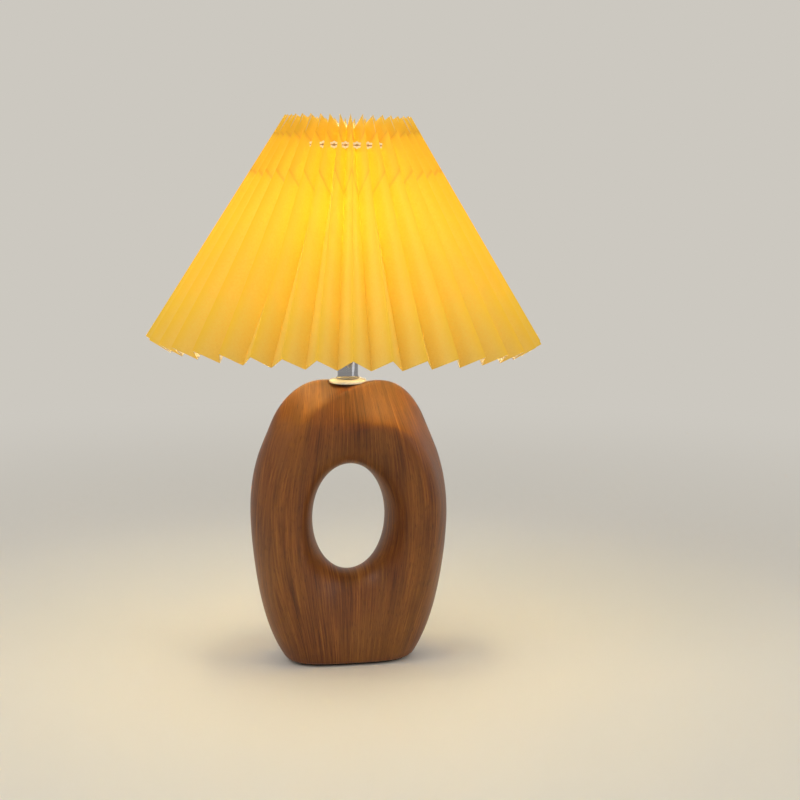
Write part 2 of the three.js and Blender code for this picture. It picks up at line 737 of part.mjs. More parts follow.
// The cord runs straight through every panel and turns at every fold
function cordRing(radius) {
  const place = outerFold(cord_slant).lerp(innerFold(cord_slant), cord_depth_share);
  return new THREE.TorusGeometry(place.x, radius, cord_sides, 2 * pleat_count).translate(0, 0, place.y);
}

// Bulb
function bulbCap() {
  const top = housing_foot - seat_gap;
  const inner = cap_radius - cap_wall;
  return turnedRing([[insulator_radius + seat_gap, bulb_cap_foot], [cap_radius - cap_wall, bulb_cap_foot],
    [cap_radius, bulb_cap_foot + cap_wall], [cap_radius, top], [inner, top], [inner, bulb_cap_foot + 2 * cap_wall],
    [insulator_radius + seat_gap, bulb_cap_foot + cap_wall]]);
}

function bulbInsulator() {
  const foot = bulb_foot + tip_height + seat_gap;
  const top = bulb_cap_foot + cap_wall;
  return turned([[0, foot], [tip_radius + cap_wall, foot], [insulator_radius, bulb_cap_foot], [insulator_radius, top],
    [0, top]], small_round_steps);
}

function bulbTip() {
  const top = bulb_foot + tip_height;
  return turned([[0, bulb_foot], [tip_radius / 2, bulb_foot + tip_height / 5], [tip_radius, bulb_foot + tip_height / 2],
    [tip_radius, top], [0, top]], small_round_steps);
}

function bulbHousing() {
  const profile = [[0, housing_foot], [housing_neck_radius, housing_foot]];
  const flare_foot = housing_foot + housing_neck_height;
  for (let i = 0; i <= housing_steps; i += 1) {
    const share = i / housing_steps;
    const flare = 1 - Math.cos(share * Math.PI / 2);
    profile.push([housing_neck_radius + (globe_mouth_radius - housing_neck_radius) * (share + flare) / 2,
      flare_foot + (housing_top - flare_foot) * share]);
  }
  profile.push([0, housing_top]);
  return turned(profile);
}

function bulbGlobe() {
  const mouth_turn = Math.PI - Math.asin(globe_mouth_radius / bulb_radius);
  const outside = [];
  const inside = [];
  for (let i = 0; i <= globe_steps; i += 1) {
    const turn = mouth_turn * (1 - i / globe_steps);
    const inner = bulb_radius - globe_wall;
    outside.push([bulb_radius * Math.sin(turn), globe_centre + bulb_radius * Math.cos(turn)]);
    inside.push([inner * Math.sin(turn), globe_centre + inner * Math.cos(turn)]);
  }
  return turned([...inside.reverse(), ...outside]);
}

function ledPlate() {
  const foot = housing_top + seat_gap;
  return cylinderFrom(led_plate_radius, foot, foot + led_plate_thickness);
}

const lamp = new THREE.Group();

function add(name, geometry, finish) {
  const mesh = new THREE.Mesh(closed(geometry), new THREE.MeshStandardMaterial(finish));
  mesh.name = name;
  lamp.add(mesh);
}

add('ring_body', ringBody(), walnut_film);
add('base_pad', basePad(), dark_foam);
add('cord_gland', cordGland(), black_rubber);
add('clamp_washer', clampWasher(), zinc_steel);
add('lock_nut', lockNut(), zinc_steel);
add('threaded_tube', threadedTube(), zinc_steel);
add('neck_washer', neckWasher(), white_plastic);
add('neck_sleeve', neckSleeve(), chromed_steel);
add('holder_cap', holderCap(), white_plastic);
add('holder_insert', holderInsert(), porcelain);
add('holder_skirt', holderSkirt(), white_plastic);
add('screw_shell', screwShell(), brass);
add('centre_contact', centreContact(), brass);
add('terminal_screw_left', terminalScrew(-1), zinc_steel);
add('terminal_screw_right', terminalScrew(1), zinc_steel);
add('shade_ring', shadeRing(), white_plastic);
add('fitter_ring', fitterRing(), white_wire);
for (let index = 0; index < leg_count; index += 1) add(`frame_leg_${index + 1}`, frameLeg(index), white_wire);
add('support_ring', supportRing(), white_wire);
add('pleated_shade', pleatedShade(), cream_sheet);
add('gathering_cord', cordRing(cord_radius), white_cord);
add('bulb_tip', bulbTip(), cap_metal);
add('bulb_insulator', bulbInsulator(), black_glass);
add('bulb_cap', bulbCap(), cap_metal);
add('bulb_housing', bulbHousing(), white_plastic);
add('led_plate', ledPlate(), board_white);
add('bulb_globe', bulbGlobe(), opal);

export default lamp;
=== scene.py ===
"""Table lamp: a ring-shaped ceramic body in a walnut-grain film, a short chromed neck and a lit,
pleated shade on a wire frame. Metres, +Z up from the table; the front looks towards -Y."""
import math
import random

import bpy
from mathutils import Matrix, Vector


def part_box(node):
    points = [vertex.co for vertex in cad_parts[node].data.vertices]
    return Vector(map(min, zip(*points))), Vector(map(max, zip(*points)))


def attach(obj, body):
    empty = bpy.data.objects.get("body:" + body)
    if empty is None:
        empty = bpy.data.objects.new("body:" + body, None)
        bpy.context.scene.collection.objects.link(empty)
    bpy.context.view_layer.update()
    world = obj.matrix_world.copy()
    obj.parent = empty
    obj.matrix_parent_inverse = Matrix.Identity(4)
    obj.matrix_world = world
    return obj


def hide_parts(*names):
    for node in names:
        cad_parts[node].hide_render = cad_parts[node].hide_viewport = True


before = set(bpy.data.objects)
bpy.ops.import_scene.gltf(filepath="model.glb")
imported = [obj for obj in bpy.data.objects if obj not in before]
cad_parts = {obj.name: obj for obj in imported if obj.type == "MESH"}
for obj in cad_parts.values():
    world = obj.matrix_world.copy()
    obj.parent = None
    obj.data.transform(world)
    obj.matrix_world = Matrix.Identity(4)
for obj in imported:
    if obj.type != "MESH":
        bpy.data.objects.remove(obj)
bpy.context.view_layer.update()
bpy.ops.object.select_all(action="DESELECT")

# Camera: a long lens, a little left of the lamp and above the ring, tipped down. The lamp's axis
# lies left of the middle of the picture, so the camera stands that far to the side.
picture_width = 800
focal_pixels = 1550
camera_turn = math.radians(9.5)
camera_pitch = math.radians(8.87)
camera_distance = 1.177
camera_height = 0.388
camera_side = 0.040
level = Vector((math.sin(camera_turn), math.cos(camera_turn), 0))
aside = Vector((math.cos(camera_turn), -math.sin(camera_turn), 0))
bpy.ops.object.camera_add(location=aside * camera_side - level * camera_distance + Vector((0, 0, camera_height)))
camera = bpy.context.object
camera.name = "camera"
camera.rotation_euler = (level * math.cos(camera_pitch) - Vector((0, 0, math.sin(camera_pitch)))).to_track_quat(
    "-Z", "Y").to_euler()
camera.data.sensor_width = 36
camera.data.lens = camera.data.sensor_width * focal_pixels / picture_width
bpy.context.scene.camera = camera


# Ring body: one hollow slip-cast ceramic ring. A flat band goes over its top and twists, forward
# on the left leg and backward on the right leg, so its front edge becomes a crisp ridge. It is
# cast in a mould, fired, and wrapped in a printed walnut film under satin lacquer.
ring_height = 0.217
ring_half_width = 0.0736
ring_waist = 0.108
ring_lower_half_height = 0.133
lobe_share = 0.035
full_share = 0.045
lobe_span = math.radians(65)
hole_half_width = 0.0286
hole_half_height = 0.0426
hole_centre = 0.1134
top_half_depth = 0.033
leg_half_depth = 0.035
foot_half_depth = 0.0275
band_half_width = 0.0155
hole_wall_half_width = 0.015
band_turn_limit = math.radians(80)
band_turn_reach = math.radians(50)
shoulder_turn_share = 0.65
ridge_power = 26
firm_power = 8
soft_power = 3.3
foot_power = 5
seen_ridge_fade = (math.radians(40), math.radians(62))
hidden_ridge_fade = (math.radians(22), math.radians(52))
foot_round = 0.003
foot_round_rows = (1, 0.7, 0.45, 0.25, 0.1)
foot_drawn_share = 0.9
seat_gap = 0.0003
seat_margin = 0.0006
inlet_radius = 0.005
seat_cut = 0.02
inlet_cut = 0.022
inlet_cut_start = 0.01
ring_turns = 256
band_points = 16
side_points = 44


def smoothstep(value, low, high):
    share = min(1, max(0, (value - low) / (high - low)))
    return share * share * (3 - 2 * share)


def mixed(one, other, share):
    return one + (other - one) * share


def outline_point(turn):
    """Outer edge of the ring seen from the front, as (x, z). turn is 0 at the top, positive to the right."""
    rise = ring_height - ring_waist if math.cos(turn) >= 0 else ring_lower_half_height
    swell = 1 + full_share * math.sin(2 * turn) ** 2
    if abs(turn) < lobe_span:
        swell += lobe_share * math.sin(math.pi * turn / lobe_span) ** 2
    return Vector((ring_half_width * swell * math.sin(turn), ring_waist + rise * swell * math.cos(turn)))


def section_reach(direction, faces, band, turn):
    """Distance from the middle of a section to its surface, from the flat faces that round into each other."""
    def nearness(facing, distance):
        return max(0, math.cos(direction - facing)) / distance

    side = math.pi / 2
    power = mixed(firm_power, soft_power, smoothstep(abs(turn), 0, side))
    power = mixed(power, foot_power, smoothstep(abs(turn), side, math.pi))
    body = sum(nearness(*face) ** power for face in faces) ** (1 / power)
    seen = 1 - smoothstep(abs(turn), *seen_ridge_fade)
    hidden = 1 - smoothstep(abs(turn), *hidden_ridge_fade)
    front, back = (seen, hidden) if turn < 0 else (hidden, seen)
    off_band = math.atan2(math.sin(direction - band[0]), math.cos(direction - band[0]))
    sharpness = mixed(back, front, smoothstep(off_band, -math.pi / 6, math.pi / 6))
    edge = mixed(power, ridge_power, sharpness)
    return (body ** edge + nearness(*band) ** edge) ** (-1 / edge)


def ring_section(turn):
    """Points round one section of the ring, from the band's back edge over the band and down the front."""
    outer = outline_point(turn)
    inner = Vector((hole_half_width * math.sin(turn), hole_centre + hole_half_height * math.cos(turn)))
    middle = (outer + inner) / 2
    outward = (outer - inner).normalized()
    half_width = (outer - inner).length / 2
    end_depth = top_half_depth if math.cos(turn) >= 0 else foot_half_depth
    half_depth = mixed(leg_half_depth, end_depth, math.cos(turn) ** 2)
    twist = -band_turn_limit * math.tanh(turn / band_turn_reach) * math.cos(turn / 2) ** 3
    shoulder = math.atan2(half_width, half_depth - band_half_width)
    scoop = math.pi - math.atan2(half_width, half_depth - hole_wall_half_width)
    shoulder_distance = half_width * math.cos(shoulder) + band_half_width * math.sin(shoulder)
    scoop_distance = half_depth * math.sin(scoop)
    lean = shoulder_turn_share * twist

    def faces(tilt):
        return [(tilt + shoulder, shoulder_distance), (tilt - shoulder, shoulder_distance),
                (scoop, scoop_distance), (-scoop, scoop_distance), (math.pi, half_width)]

    def meeting(one, other):
        return math.atan2(math.cos(one[0]) / one[1] - math.cos(other[0]) / other[1],
                          math.sin(other[0]) / other[1] - math.sin(one[0]) / one[1])

    upright, flat_band = faces(0), (0, half_width)
    outmost = section_reach(0, upright, flat_band, turn)
    inmost = section_reach(math.pi, upright, flat_band, turn)
    leans = [math.radians(step) for step in range(180)]
    frontmost = max(section_reach(one, upright, flat_band, turn) * math.sin(one) for one in leans)
    turned_faces, band = faces(lean), (twist, half_width)
    front = meeting(band, turned_faces[0])
    back = meeting(turned_faces[1], band)
    directions = [mixed(back, front, step / band_points) for step in range(band_points)]
    directions += [mixed(front, math.pi, step / side_points) for step in range(side_points)]
    directions += [mixed(math.pi, back + 2 * math.pi, step / side_points) for step in range(side_points)]
    points = []
    for direction in directions:
        reach = section_reach(direction, turned_faces, band, turn)
        out = half_width * (2 * reach * math.cos(direction) - outmost + inmost) / (outmost + inmost)
        depth = half_depth * reach * math.sin(direction) / frontmost
        points.append(Vector((middle.x + outward.x * out, -depth, middle.y + outward.y * out)))
    return points


def select_only(piece):
    bpy.ops.object.select_all(action="DESELECT")
    piece.select_set(True)
    bpy.context.view_layer.objects.active = piece


def cut_away(piece, radius, start, along, length):
    """Cuts a round hole, with a cylinder from start along a direction."""
    turn = Vector(along).to_track_quat("Z", "Y")
    middle = Vector(start) + Vector(along) * length / 2
    bpy.ops.mesh.primitive_cylinder_add(vertices=96, radius=radius, depth=length, location=middle,
                                        rotation=turn.to_euler())
    tool = bpy.context.object
    select_only(piece)
    cut = piece.modifiers.new("hole", "BOOLEAN")
    cut.object = tool
    cut.operation = "DIFFERENCE"
    cut.solver = "EXACT"
    bpy.ops.object.modifier_apply(modifier=cut.name)
    bpy.data.objects.remove(tool)


bpy.ops.mesh.primitive_torus_add(major_segments=ring_turns, minor_segments=band_points + 2 * side_points)
ring = bpy.context.object
ring.name = "ring_body_film"
corners = [point for step in range(ring_turns)
           for point in ring_section(-math.pi + 2 * math.pi * step / ring_turns)]
for vertex, corner in zip(ring.data.vertices, corners):
    vertex.co = corner
foot_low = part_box("ring_body")[0].z
bpy.ops.object.mode_set(mode="EDIT")
bpy.ops.mesh.select_all(action="SELECT")
bpy.ops.mesh.normals_make_consistent(inside=False)
for share in foot_round_rows:
    bpy.ops.mesh.select_all(action="SELECT")
    bpy.ops.mesh.bisect(plane_co=(0, 0, foot_low + foot_round * share), plane_no=(0, 0, 1))
bpy.ops.mesh.select_all(action="SELECT")
bpy.ops.mesh.bisect(plane_co=(0, 0, foot_low), plane_no=(0, 0, 1), use_fill=True, clear_inner=True)
bpy.ops.object.mode_set(mode="OBJECT")
normals = [vertex.normal.copy() for vertex in ring.data.vertices]
for vertex, normal in zip(ring.data.vertices, normals):
    height = max(0, vertex.co.z - foot_low)
    if height < foot_round:
        drawn_in = foot_round - math.sqrt(foot_round ** 2 - (foot_round - height) ** 2)
        outward = Vector((normal.x, normal.y, 0)).normalized()
        vertex.co -= outward * drawn_in * foot_drawn_share
washer_low, washer_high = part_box("neck_washer")
gland_low, gland_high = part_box("cord_gland")
gland_height = (gland_low.z + gland_high.z) / 2
cut_away(ring, -washer_low.x + seat_margin, (0, 0, washer_low.z - seat_gap), (0, 0, 1), seat_cut)
cut_away(ring, inlet_radius, (0, gland_high.y + inlet_cut_start, gland_height), (0, -1, 0), inlet_cut)
select_only(ring)
bpy.ops.object.shade_smooth_by_angle(angle=math.radians(35))


def linear(hex_colour):
    """An sRGB colour such as #8A5A38 as the linear values that a shader takes."""
    parts = [int(hex_colour[start:start + 2], 16) / 255 for start in (1, 3, 5)]
    return tuple(part / 12.92 if part <= 0.04045 else ((part + 0.055) / 1.055) ** 2.4 for part in parts) + (1.0,)


def add(material, kind, inputs=None, stops=None, **settings):
    """Adds a node. inputs gives each socket a value or another node's output; stops are a ramp's colours."""
    new = material.node_tree.nodes.new(kind)
    for name, value in settings.items():
        setattr(new, name, value)
    for name, value in (inputs or {}).items():
        if isinstance(value, bpy.types.NodeSocket):
            material.node_tree.links.new(value, new.inputs[name])
        else:
            new.inputs[name].default_value = value
    if stops:
        for element in list(new.color_ramp.elements)[2:]:
            new.color_ramp.elements.remove(element)
        while len(new.color_ramp.elements) < len(stops):
            new.color_ramp.elements.new(0.5)
        for element, (place, colour) in zip(new.color_ramp.elements, stops):
            element.position = place
            element.color = linear(colour)
    return new


def new_finish(name, **shader_values):
    """A material named for its finish, with its plain values on the shader's own sockets."""
    material = bpy.data.materials.new(name)
    material.use_nodes = True
    shader = material.node_tree.nodes["Principled BSDF"]
    for socket, value in shader_values.items():
        shader.inputs[socket.replace("_", " ")].default_value = value
    return material, shader


def feed(material, output, shader, socket):
    material.node_tree.links.new(output, shader.inputs[socket])


# Walnut film: a printed wood grain wrapped over the glaze, all its streaks running down, also
# over the top and inside the hole, where real timber would show end grain. Stretched over the
# swell, its streaks, 1 to 8 mm wide, bow out with the ring's sides. Satin lacquer gives soft, wide
# highlights, and the print's pores can just be felt.
walnut, walnut_shader = new_finish("walnut grain film under satin lacquer", Coat_Weight=0.1, Coat_Roughness=0.28,
                                   Specular_IOR_Level=0.3)
place = add(walnut, "ShaderNodeTexCoord").outputs
split_place = add(walnut, "ShaderNodeSeparateXYZ", {0: place["Object"]}).outputs
split_facing = add(walnut, "ShaderNodeSeparateXYZ", {0: place["Normal"]}).outputs
sideways = add(walnut, "ShaderNodeMath", {0: split_facing["X"]}, operation="ABSOLUTE").outputs[0]
side_share = add(walnut, "ShaderNodeMapRange", {"Value": sideways, "From Min": 0.6, "From Max": 0.85},
                 interpolation_type="SMOOTHSTEP").outputs[0]
grain_sway = 0.009
grain_bow = 47.0
figure_grain = (170, 1, 6)
fibre_grain = (800, 1, 24)
pore_grain = (1900, 1, 130)
sway_place = add(walnut, "ShaderNodeMapping", {"Vector": place["Object"], "Scale": (16, 16, 9)}).outputs[0]
sway = add(walnut, "ShaderNodeTexNoise", {"Vector": sway_place, "Scale": 1.0, "Detail": 1.0}).outputs[0]


def printed_grain(across, offset):
    """One projection of the print: its broad figure with its fine fibres, and its pores."""
    swayed = add(walnut, "ShaderNodeMath", {0: sway, 1: grain_sway, 2: across}, operation="MULTIPLY_ADD").outputs[0]
    grain_place = add(walnut, "ShaderNodeCombineXYZ", {"X": swayed, "Y": offset, "Z": split_place["Z"]}).outputs[0]
    layers = []
    for size, detail in ((figure_grain, 2.0), (fibre_grain, 4.0), (pore_grain, 1.0)):
        stretched = add(walnut, "ShaderNodeMapping", {"Vector": grain_place, "Scale": size}).outputs[0]
        layers.append(add(walnut, "ShaderNodeTexNoise", {"Vector": stretched, "Scale": 1.0, "Detail": detail,
                                                         "Roughness": 0.6}).outputs[0])
    figure, fibre, pore = layers
    streaks = add(walnut, "ShaderNodeMix", {"Factor": 0.68, "A": figure, "B": fibre}, data_type="FLOAT").outputs[0]
    return streaks, pore


off_waist = add(walnut, "ShaderNodeMath", {0: split_place["Z"], 1: ring_waist}, operation="SUBTRACT").outputs[0]
off_waist_squared = add(walnut, "ShaderNodeMath", {0: off_waist, 1: off_waist}, operation="MULTIPLY").outputs[0]
narrowed = add(walnut, "ShaderNodeMath", {0: off_waist_squared, 1: grain_bow, 2: 1.0},
               operation="MULTIPLY_ADD").outputs[0]
bowed = add(walnut, "ShaderNodeMath", {0: split_place["X"], 1: narrowed}, operation="MULTIPLY").outputs[0]
front_print = printed_grain(bowed, 0.0)
side_print = printed_grain(split_place["Y"], 3.0)
streaks, pore = (add(walnut, "ShaderNodeMix", {"Factor": side_share, "A": front, "B": side},
                     data_type="FLOAT").outputs[0] for front, side in zip(front_print, side_print))
pore_depth = add(walnut, "ShaderNodeMapRange", {"Value": pore, "From Min": 0.32, "From Max": 0.42}).outputs[0]
grain_colour = add(walnut, "ShaderNodeValToRGB", {0: streaks}, stops=(
    (0.32, "#472712"), (0.43, "#623617"), (0.52, "#76441C"), (0.61, "#8A5423"), (0.72, "#9E682C"))).outputs[0]
patch_place = add(walnut, "ShaderNodeMapping", {"Vector": place["Object"], "Scale": (38, 20, 13)}).outputs[0]
patch = add(walnut, "ShaderNodeTexNoise", {"Vector": patch_place, "Scale": 1.0, "Detail": 2.0}).outputs[0]
golden_share = add(walnut, "ShaderNodeMapRange", {"Value": patch, "From Min": 0.45, "From Max": 0.7,
                                                  "To Max": 0.4}).outputs[0]
toned = add(walnut, "ShaderNodeMix", {0: golden_share, 6: grain_colour, 7: linear("#94622A")},
            data_type="RGBA").outputs[2]
pored = add(walnut, "ShaderNodeMix", {0: pore_depth, 6: linear("#40220F"), 7: toned}, data_type="RGBA").outputs[2]
softened = add(walnut, "ShaderNodeMix", {0: 0.6, 6: toned, 7: pored}, data_type="RGBA").outputs[2]
feed(walnut, softened, walnut_shader, "Base Color")
satin = add(walnut, "ShaderNodeMapRange", {"Value": streaks, "To Min": 0.34, "To Max": 0.5}).outputs[0]
feed(walnut, satin, walnut_shader, "Roughness")
relief = add(walnut, "ShaderNodeBump", {"Height": pore_depth, "Strength": 0.12, "Distance": 0.0002}).outputs[0]
feed(walnut, relief, walnut_shader, "Normal")
ring.data.materials.clear()
ring.data.materials.append(walnut)
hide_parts("ring_body")
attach(ring, "base")

# Foot pad: die-cut EVA foam, glued under the ring over its casting hole. Closed cells, 0.6 mm
# across, leave a fine, dull pebbled skin.
foam_cells_per_metre = 1600.0


def dress(node, material):
    """Gives a CAD node that stays in view its finish."""
    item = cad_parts[node]
    item.data.materials.clear()
    item.data.materials.append(material)


def mottled(name, kind, stops, pattern, **shader_values):
    """A finish whose tone comes from a texture over the piece. Gives the material, its shader and the texture."""
    material, shader = new_finish(name, **shader_values)
    place = add(material, "ShaderNodeTexCoord").outputs["Object"]
    texture = add(material, kind, {"Vector": place, **pattern}).outputs[0]
    tone = add(material, "ShaderNodeValToRGB", {0: texture}, stops=stops).outputs[0]
    feed(material, tone, shader, "Base Color")
    return material, shader, texture


foam, foam_shader, cells = mottled("die-cut black EVA foam", "ShaderNodeTexVoronoi",
                                   ((0.1, "#2B2926"), (0.6, "#3E3B37")), {"Scale": foam_cells_per_metre},
                                   Roughness=0.95, Specular_IOR_Level=0.2)
foam_relief = add(foam, "ShaderNodeBump", {"Height": cells, "Strength": 0.4, "Distance": 0.0002}).outputs[0]
feed(foam, foam_relief, foam_shader, "Normal")
dress("base_pad", foam)

# Cord gland: a moulded rubber grommet that snaps into the back wall, with a rounded flange
# outside and a lip inside. The rubber is dull, with a faint patchy bloom.
gland_flange_radius = (gland_high.x - gland_low.x) / 2
gland_flange = 0.0016
gland_flange_round = 0.0012
gland_bore = 0.0031
gland_neck = 0.0046
gland_lip = 0.0014
gland_length = gland_high.y - gland_low.y
merge_distance = 1e-6


def turned_piece(name, outline, steps=128, edge=0.0):
    """Spins a closed outline of (radius, height) corners about the lamp's axis, with rounded edges."""
    bpy.ops.object.select_all(action="DESELECT")
    bpy.ops.mesh.primitive_plane_add(size=0.001)
    piece = bpy.context.object
    piece.name = name
    bpy.ops.object.mode_set(mode="EDIT")
    bpy.ops.mesh.select_all(action="SELECT")
    bpy.ops.mesh.merge(type="CENTER")
    targets = [Vector((radius, 0, height)) for radius, height in outline]
    bpy.ops.transform.translate(value=targets[0])
    corner = targets[0]
    for target in targets[1:] + targets[:1]:
        bpy.ops.mesh.extrude_vertices_move(TRANSFORM_OT_translate={"value": target - corner})
        corner = target
    bpy.ops.mesh.select_all(action="SELECT")
    bpy.ops.mesh.remove_doubles(threshold=merge_distance)
    bpy.ops.mesh.spin(steps=steps, angle=2 * math.pi, center=(0, 0, 0), axis=(0, 0, 1))
    bpy.ops.mesh.select_all(action="SELECT")
    bpy.ops.mesh.remove_doubles(threshold=merge_distance)
    bpy.ops.mesh.normals_make_consistent(inside=False)
    bpy.ops.object.mode_set(mode="OBJECT")
    if edge:
        rounded = piece.modifiers.new("rounded edges", "BEVEL")
        rounded.width = edge
        rounded.segments = 3
        rounded.limit_method = "ANGLE"
        rounded.angle_limit = math.radians(40)
        bpy.ops.object.modifier_apply(modifier=rounded.name)
    bpy.ops.object.shade_smooth_by_angle(angle=math.radians(40))
    return piece


def finish_piece(piece, material, slot, body, *nodes):
    piece.data.materials.clear()
    piece.data.materials.append(material)
    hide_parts(*nodes)
    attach(piece, body)


gland = turned_piece("cord_gland_moulded", [
    (gland_bore, 0), (gland_neck, 0), (gland_neck + gland_lip, gland_lip), (gland_neck, gland_lip),
    (gland_neck, gland_length - gland_flange), (gland_flange_radius, gland_length - gland_flange),
    (gland_flange_radius, gland_length - gland_flange / 2),
    (gland_flange_radius - gland_flange_round, gland_length), (gland_bore, gland_length)], steps=64, edge=0.0003)
gland.data.transform(Matrix.Translation((0, gland_low.y, gland_height)) @ Matrix.Rotation(-math.pi / 2, 4, "X"))
rubber = mottled("moulded black rubber", "ShaderNodeTexNoise", ((0.3, "#1F1E1D"), (0.7, "#2F2D2B")),
                 {"Scale": 600.0, "Detail": 4.0}, Roughness=0.62, Specular_IOR_Level=0.35)[0]
finish_piece(gland, rubber, "black_rubber", "base", "cord_gland")

# Neck washer: a domed disc, moulded in white ABS with a polished face, which hides the hole in
# the ring and spreads the pull of the threaded tube. Its polish wavers, so highlights blur a little.
washer_radius = washer_high.x
washer_rim = 0.0013
tube_hole = 0.0054
dome_steps = 10
dome_start = 0.0088
dome = [(dome_start + (washer_radius - dome_start) * math.cos(math.pi / 2 * step / dome_steps),
         washer_low.z + washer_rim + (washer_high.z - washer_low.z - washer_rim)
         * math.sin(math.pi / 2 * step / dome_steps)) for step in range(dome_steps + 1)]
washer = turned_piece("neck_washer_domed", [(tube_hole, washer_low.z), (washer_radius, washer_low.z), *dome,
                                            (tube_hole, washer_high.z)], edge=0.0002)
gloss_white, gloss_shader, flow = mottled("polished white ABS", "ShaderNodeTexNoise",
                                          ((0.3, "#ECEBE9"), (0.7, "#F4F3F1")), {"Scale": 90.0, "Detail": 2.0})
gloss_rough = add(gloss_white, "ShaderNodeMapRange", {"Value": flow, "To Min": 0.14, "To Max": 0.28}).outputs[0]
feed(gloss_white, gloss_rough, gloss_shader, "Roughness")
finish_piece(washer, gloss_white, "white_gloss", "base", "neck_washer")

# Neck sleeve: drawn steel tube, polished and chromed, with a small turned-out foot. Polishing on a
# lathe leaves faint rings that stretch its highlights.
sleeve_low, sleeve_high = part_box("neck_sleeve")
sleeve_foot_radius = sleeve_high.x
sleeve_radius = 0.0079
sleeve_wall = 0.0012
sleeve = turned_piece("neck_sleeve_polished", [
    (sleeve_radius - sleeve_wall, sleeve_low.z), (sleeve_foot_radius, sleeve_low.z),
    (sleeve_foot_radius, sleeve_low.z + sleeve_wall / 2),
    (sleeve_radius + sleeve_wall / 4, sleeve_low.z + sleeve_wall),
    (sleeve_radius, sleeve_low.z + 2 * sleeve_wall), (sleeve_radius, sleeve_high.z), (tube_hole, sleeve_high.z),
    (tube_hole, sleeve_high.z - sleeve_wall), (sleeve_radius - sleeve_wall, sleeve_high.z - sleeve_wall)],
    edge=0.0002)
chrome, chrome_shader = new_finish("chromed steel, lathe polished", Metallic=1.0)
chrome_place = add(chrome, "ShaderNodeTexCoord").outputs["Object"]
lathe_place = add(chrome, "ShaderNodeMapping", {"Vector": chrome_place, "Scale": (20, 20, 4000)}).outputs[0]
rings = add(chrome, "ShaderNodeTexNoise", {"Vector": lathe_place, "Scale": 1.0, "Detail": 2.0}).outputs[0]
chrome_colour = add(chrome, "ShaderNodeValToRGB", {0: rings},
                    stops=((0.3, "#94959A"), (0.7, "#ADAEB2"))).outputs[0]
feed(chrome, chrome_colour, chrome_shader, "Base Color")
chrome_rough = add(chrome, "ShaderNodeMapRange", {"Value": rings, "To Min": 0.02, "To Max": 0.08}).outputs[0]
feed(chrome, chrome_rough, chrome_shader, "Roughness")
finish_piece(sleeve, chrome, "chromed_steel", "base", "neck_sleeve")

# Tube, nut and clamp washer: zinc-plated steel, cut and pressed, inside the ring's top wall. Zinc
# crystals give a faint grey mottle.
zinc, zinc_shader = new_finish("zinc-plated steel", Metallic=1.0, Roughness=0.38)
zinc_place = add(zinc, "ShaderNodeTexCoord").outputs["Object"]
spangle = add(zinc, "ShaderNodeTexVoronoi", {"Vector": zinc_place, "Scale": 900.0}).outputs["Color"]
spangle_share = add(zinc, "ShaderNodeRGBToBW", {0: spangle}).outputs[0]
zinc_colour = add(zinc, "ShaderNodeValToRGB", {0: spangle_share},
                  stops=((0.2, "#A9ACB0"), (0.8, "#C3C6CA"))).outputs[0]
feed(zinc, zinc_colour, zinc_shader, "Base Color")
for node in ("threaded_tube", "lock_nut", "clamp_washer", "terminal_screw_left", "terminal_screw_right"):
    dress(node, zinc)

# Lampholder: cap and skirt moulded in white PBT, which stands the bulb's heat. The skirt screws over
# the cap's spigot and has a collar for the shade's frame. Spark-eroded moulds leave a fine matt grain.
cap_low, cap_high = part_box("holder_cap")
skirt_low, skirt_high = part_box("holder_skirt")
holder_radius = cap_high.x
holder_wall = 0.0018
holder_foot_radius = 0.0095
spigot_radius = holder_radius - holder_wall - seat_gap
spigot_depth = 0.0024
cap_floor_depth = 0.0105
shoulder = skirt_low.z - seat_gap
holder_rim = 0.002
cap_dome = [(holder_foot_radius + (holder_radius - holder_foot_radius) * math.sin(math.pi / 2 * step / dome_steps),
             cap_low.z + (shoulder - holder_rim - cap_low.z) * (1 - math.cos(math.pi / 2 * step / dome_steps)))
            for step in range(dome_steps + 1)]
cap = turned_piece("holder_cap_moulded", [(tube_hole, cap_low.z), *cap_dome, (holder_radius, shoulder),
                                          (spigot_radius, shoulder), (spigot_radius, cap_high.z),
                                          (spigot_radius - holder_wall / 2, cap_high.z),
                                          (spigot_radius - holder_wall / 2, cap_high.z - spigot_depth),
                                          (tube_hole, cap_high.z - cap_floor_depth)], edge=0.0002)
collar_radius = skirt_high.x
fitter_low, fitter_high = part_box("fitter_ring")
collar_top = fitter_low.z - seat_gap
collar_height = 0.003
lip = 0.0022
skirt = turned_piece("holder_skirt_moulded", [
    (holder_radius - holder_wall, skirt_low.z), (holder_radius, skirt_low.z),
    (holder_radius, collar_top - collar_height), (collar_radius, collar_top - 2 * collar_height / 3),
    (collar_radius, collar_top), (holder_radius, collar_top), (holder_radius, skirt_high.z),
    (holder_radius - holder_wall - lip, skirt_high.z),
    (holder_radius - holder_wall - lip, skirt_high.z - holder_wall),
    (holder_radius - holder_wall, skirt_high.z - 2 * holder_wall)], edge=0.0004)
pbt, pbt_shader, spark = mottled("moulded white PBT", "ShaderNodeTexNoise",
                                 ((0.35, "#EDE9E0"), (0.65, "#F3F0E8")), {"Scale": 1800.0, "Detail": 3.0},
                                 Roughness=0.42)
pbt_relief = add(pbt, "ShaderNodeBump", {"Height": spark, "Strength": 0.1, "Distance": 0.0001}).outputs[0]
feed(pbt, pbt_relief, pbt_shader, "Normal")
finish_piece(cap, pbt, "white_plastic", "base", "holder_cap")
finish_piece(skirt, pbt, "white_plastic", "base", "holder_skirt")

